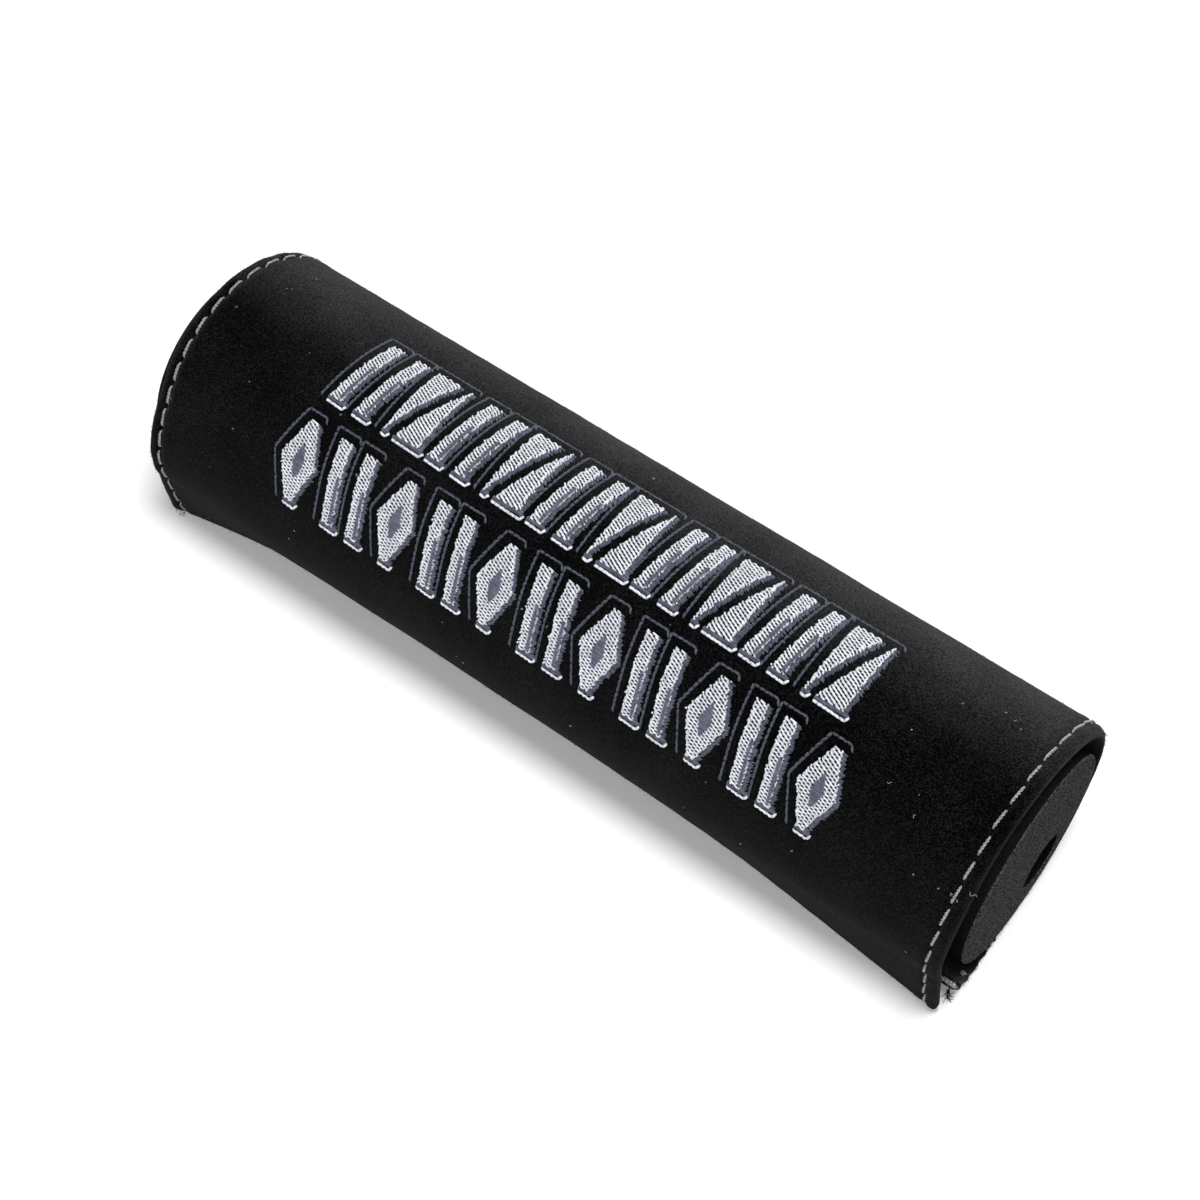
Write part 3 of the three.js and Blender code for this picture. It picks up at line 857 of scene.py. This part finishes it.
def make_embroidery(materials):
    """Both rows: pale fillings, slate shading at their right and lower edges, outlines, pale edge lines."""
    random = np.random.default_rng(SEED + 30)
    fills = {"upper": [], "lower": []}
    shades, inner, outlines, glints = [], [], [], []
    fields = embroidered_fields()
    for field, after in zip(fields, fields[1:] + [None]):
        runs, ends = fill_runs(field, random)
        fills[field["row"]] += runs
        shades += shade_runs(field, ends, random)
        inner += inner_runs(field, random)
        left, right = (float(v) for v in field["sides"](1.0))
        glint = field["bottom"] + SHADE_DROP + 0.3
        edge = [(left + 0.1, glint - 0.1), (right + 0.4, glint + 0.15), (right + 1.0, glint - 0.9)]
        glints += along_line(edge, 1.3, random, 0.08)
        glints += along_line([(x + 0.1, a + 0.22) for x, a in edge], 1.1, random, 0.08)
        if field["kind"] == "right_wedge":
            continue
        right_side = after["sides"] if field["kind"] == "left_wedge" else field["sides"]
        line = outline_points(field, right_side)
        outlines += along_line(line, 1.5, random, 0.07)
        outlines += along_line([(x + 0.2, a + 0.17) for x, a in line], 1.2, random, 0.07)
    for row, runs in fills.items():
        piece = stitched(f"{row}_row_filling", runs, 0.215, 0.4, materials["floss"], rings=6, sides=5)
        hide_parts(*[f["node"] for f in fields if f["row"] == row])
    slate, outline, floss = (materials[name] for name in ("slate", "outline", "floss"))
    stitched("slate_shading", shades, 0.17, 0.3, slate, rings=5, sides=4)
    stitched("slate_inner_satin", inner, 0.2, 0.62, slate, rings=5, sides=4, sink=-0.4)
    stitched("slate_outline", outlines, 0.2, 0.16, outline, rings=5, sides=4)
    stitched("pale_edge_line", glints, 0.2, 0.3, floss, rings=5, sides=5)


# Frays, fluff and lint, as the photo's pad has them


def make_wadding(material):
    """The sheet's pale wadding, which shows as a felted line where its hidden edge was cut."""
    x = np.linspace(-COVER_LENGTH / 2 + 1.0, COVER_LENGTH / 2 - 0.8, 560)
    ragged = 0.08 * waves(x, 0 * x, SEED + 90, 1.6)
    angle = inner_angle(x)
    depth = COVER_THICKNESS / 2 + ragged
    out = skin(angle + 1, x, depth) - skin(angle, x, depth)
    lines = skin(angle, x, depth) + unit(out) * 0.12
    radii = WADDING_THICKNESS / 2 * (1 + 0.3 * waves(x, 0 * x, SEED + 91, 1.1))
    return finish_piece(tubes("wadding_edge", lines[None], skin_normal(angle, x)[None], radii[None], sides=10,
                              flatness=0.9), material)


def make_frays(material):
    """Black fibres that work loose: sprigs at the right and left corners, and short raw ends at the rims."""
    random = np.random.default_rng(SEED + 60)
    # Each sprig: its place from the cover's axis, heading, count, length and spread
    groups = (
        ((107.6, -23.2, -28.7), (0.35, -0.8, -0.1), 15, 2.1, (0.2, 0.2, 0.15)),
        ((108.3, -24.6, -29.1), (0.8, -0.35, 0.0), 8, 1.4, (0.25, 0.25, 0.05)),
        ((-107.4, -28.0, -28.0), (-0.5, 0.25, -0.25), 9, 1.2, (0.5, 0.5, 0.3)),
        ((-105.8, -28.3, -28.8), (0.1, -0.3, -0.1), 5, 0.9, (0.6, 0.3, 0.2)),
    )
    roots, headings, lengths = [], [], []
    for place, heading, count, length, spread in groups:
        roots.append(np.array(place) + random.normal(0, 1, (count, 3)) * spread)
        headings.append(np.array(heading) + random.normal(0, 0.16, (count, 3)))
        lengths.append(length * random.uniform(0.6, 1.1, count))
    edge = 90
    side = random.choice([-1, 1], edge)
    angle = random.uniform(232, 284, edge)
    roots.append(skin(angle, side * COVER_LENGTH / 2, random.uniform(0.1, 1.6, edge)) - AXIS)
    headings.append(np.stack([side * 1.0, random.normal(0, 0.6, edge), random.normal(0, 0.3, edge)], -1))
    lengths.append(random.uniform(0.3, 0.6, edge))
    roots = np.concatenate(roots) + AXIS
    headings = np.concatenate(headings)
    lengths = np.concatenate(lengths)
    frays = hairs("black_frays", roots, headings, lengths, 0.1, random, bend=0.4, rings=7, sides=4)
    return finish_piece(frays, material)


def tuft(random, centre, axes, count):
    """Curled fibres packed into a small lens, which axes spans."""
    t = np.linspace(0, 1, 9)[None, :, None]
    middle = np.clip(random.normal(0, 0.42, (count, 1, 3)), -1, 1) @ np.array(axes)
    first = unit(random.normal(0, 1, (count, 1, 3)))
    second = random.normal(0, 1, (count, 1, 3))
    second = unit(second - first * np.sum(first * second, axis=-1, keepdims=True))
    turn = random.uniform(1.6, 4.0, (count, 1, 1)) * t + random.uniform(0, 6.28, (count, 1, 1))
    radius = random.uniform(0.12, 0.3, (count, 1, 1))
    lines = centre + middle + radius * (np.cos(turn) * first + np.sin(turn) * second)
    normals = np.broadcast_to(np.cross(first, second), lines.shape)
    return lines, normals, np.full((count, 9), 0.045)


def make_fluff(material):
    """Wadding teased out of the cut edge at the right corner, and a small tuft on the lining by the foam."""
    random = np.random.default_rng(SEED + 70)
    x = COVER_LENGTH / 2 - 1.2
    edge = float(inner_angle(np.array(x)))
    cut = skin(edge, x, COVER_THICKNESS / 2)
    large = tuft(random, cut, ((1.1, 0, 0), (0, 0.3, -0.3), (0, 0.35, 0.35)), 170)
    lining = skin(edge + 9.5, COVER_LENGTH / 2 - 1.4, COVER_THICKNESS + 0.3)
    small = tuft(random, lining, ((0.5, 0.1, 0), (0, 0.5, -0.3), (0.0, 0.3, 0.3)), 90)
    joined = [np.concatenate(parts) for parts in zip(large, small)]
    return finish_piece(tubes("white_fluff", *joined, sides=4), material)


def make_lint(material):
    """Specks and hairs of lint that cling to the suede: ten that were seen, and more scattered over it.

    Those that were seen are given by x, unrolled angle and length.
    """
    random = np.random.default_rng(SEED + 80)
    seen = (
        (106.6, 506.1, 1.5), (89.8, 492.4, 0.9), (81.8, 485.8, 1.0), (91.9, 433.9, 0.5), (94.4, 435.1, 0.6),
        (96.8, 437.1, 0.5), (84.6, 440.9, 0.7), (101.0, 511.5, 0.6), (103.3, 511.8, 0.7), (105.2, 512.8, 0.7),
    )
    more = 46
    x = np.concatenate([[s[0] for s in seen], random.uniform(-104, 104, more)])
    angle = np.concatenate([[s[1] for s in seen], random.uniform(405, 585, more)])
    lengths = np.concatenate([[s[2] for s in seen], random.uniform(0.25, 0.7, more)])
    out = skin_normal(angle, x)[:, None]
    along = random.normal(0, 1, (len(x), 1, 3))
    along = unit(along - out * np.sum(along * out, axis=-1, keepdims=True))
    across = np.cross(along, out)
    t = np.linspace(0, 1, 12)[None, :, None]
    swing = random.uniform(0.15, 0.4, (len(x), 1, 1)) * np.sin(random.uniform(5, 11, (len(x), 1, 1)) * t)
    roots = skin(angle, x, np.where(np.abs(x) > COVER_LENGTH / 2 - STITCH_INSET, -0.45, -0.06))[:, None]
    lines = roots + lengths[:, None, None] * (along * t + across * swing + out * 0.12 * t)
    lint = tubes("lint", lines, np.broadcast_to(out, lines.shape), np.full(lines.shape[:2], 0.05), sides=4)
    return finish_piece(lint, material)


# Materials, pieces

suede = suede_material()
threads = {
    "floss": thread_material("satin_floss_pale", "#C8CBD4", "#F6F8FE", 0.42, 0.25, (1.8, 0.4, 0.4)),
    "slate": thread_material("satin_floss_slate", "#383C4E", "#656A7E", 0.45, 0.2),
    "outline": thread_material("satin_floss_dark_slate", "#252C3A", "#464D5E", 0.5, 0.12),
}
sewing = thread_material("bonded_sewing_thread", "#7C827F", "#AFB5B2", 0.55, 0.1, (0.5, 0.5, 0.5))
knitted = tape_material("brushed_loop_tape", "#0C0C0E", "#1E1E21", 0.6)
woven = tape_material("woven_hook_tape", "#131315", "#262629", 0.9)
make_foam(foam_material())
make_loop_tape(knitted)
make_loop_pile(knitted)
make_cover(suede)
# Raised fibres in a colour paler than the suede: a painted highlight along the rims and the loose edge
make_nap(tape_material("suede_fibres_painted_highlight", "#1C1C1D", "#38383A", 0.8))
make_hook_tape(woven)
make_hooks(woven)
make_topstitch(1, sewing)
make_topstitch(-1, sewing)
make_embroidery(threads)
make_frays(knitted)
felt = thread_material("needled_wadding", "#46484A", "#D4D6D8", 0.8, 0.25, (0.35, 0.35, 0.35))
make_wadding(felt)
make_fluff(felt)
make_lint(thread_material("cotton_lint", "#707276", "#A8AAAE", 0.7, 0.2, (0.5, 0.5, 0.5)))


# Floor, light and camera


def aim(thing, target):
    thing.rotation_euler = (Vector(target) - thing.location).to_track_quat("-Z", "Y").to_euler()


def seen_directly(material):
    """1 for what the camera sees straight, in a mirror or through glass, and 0 for any other ray."""
    rays = add_node(material, "LightPath").outputs
    straight, mirrored, through = (rays[f"Is {kind} Ray"] for kind in ("Camera", "Glossy", "Transmission"))
    opaque = add_node(material, "Math", {"operation": "MAXIMUM"}, n_0=straight, n_1=mirrored)
    every = add_node(material, "Math", {"operation": "MAXIMUM"}, n_0=opaque.outputs[0], n_1=through)
    return every.outputs[0]


def make_floor():
    """A pale sweep that keeps the pad's shadow, and glows more the further off it is."""
    size = 6.0
    glow_level = 0.14
    glow_start, glow_end = 0.16, 0.45
    mesh = bpy.data.meshes.new("floor")
    corners = [(-size, -size, 0), (size, -size, 0), (size, size, 0), (-size, size, 0)]
    mesh.from_pydata(corners, [], [(0, 1, 2, 3)])
    floor = bpy.data.objects.new("floor", mesh)
    bpy.context.scene.collection.objects.link(floor)
    material, shader = new_material("pale_paper")
    shader.inputs["Base Color"].default_value = srgb("#F2F2F2")
    shader.inputs["Roughness"].default_value = 0.9
    place = add_node(material, "TexCoord").outputs["Object"]
    away = add_node(material, "VectorMath", {"operation": "LENGTH"}, n_0=place).outputs["Value"]
    level = add_node(material, "MapRange", Value=away, From_Min=glow_start, From_Max=glow_end,
                     To_Min=glow_level, To_Max=1.0)
    shown = seen_directly(material)
    strength = add_node(material, "Math", {"operation": "MULTIPLY"}, n_0=shown, n_1=level.outputs[0])
    glow = add_node(material, "Emission", Color=(1, 1, 1, 1), Strength=strength.outputs[0])
    both = add_node(material, "AddShader", n_0=shader.outputs[0], n_1=glow.outputs[0])
    link(material, both.outputs[0], material.node_tree.nodes["Material Output"].inputs["Surface"])
    mesh.materials.append(material)


def make_world():
    """An even pale surround that lights softly and is white where it shows."""
    ambient = 0.27
    world = bpy.data.worlds.new("studio")
    bpy.context.scene.world = world
    world.use_nodes = True
    level = add_node(world, "MapRange", Value=seen_directly(world), To_Min=ambient, To_Max=1.0)
    background = world.node_tree.nodes["Background"]
    background.inputs["Color"].default_value = (1, 1, 1, 1)
    link(world, level.outputs[0], background.inputs["Strength"])


def add_light(name, place, target, size, power):
    data = bpy.data.lights.new(name, "AREA")
    data.shape = "DISK"
    data.size = size
    data.energy = power
    light = bpy.data.objects.new(name, data)
    bpy.context.scene.collection.objects.link(light)
    light.location = place
    aim(light, target)


def make_camera():
    """The viewpoint: 37 degrees round from the front, 56 degrees up, on a 72 mm lens."""
    turn, climb = 36.96 * degree, 56.16 * degree
    eye = AXIS + (177.23, -238.08, 437.17)
    data = bpy.data.cameras.new("camera")
    data.sensor_width = 36.0
    data.lens = 72.0
    data.clip_start = 0.01
    camera = bpy.data.objects.new("camera", data)
    bpy.context.scene.collection.objects.link(camera)
    back = np.array([math.sin(turn) * math.cos(climb), -math.cos(turn) * math.cos(climb), math.sin(climb)])
    camera.location = Vector(eye * MM)
    aim(camera, (eye - back * 500) * MM)
    bpy.context.scene.camera = camera


make_floor()
make_world()
add_light("overhead_softbox", (0.2, -0.04, 1.3), (0, 0, 0.03), 0.5, 13.8)
add_light("back_softbox", (0.35, 1.0, 0.6), (0, 0, 0.03), 0.7, 3.0)
add_light("front_fill", (0.1, -0.85, 0.9), (0, 0, 0.03), 0.9, 3.1)
make_camera()
bpy.context.scene.view_settings.view_transform = "Standard"
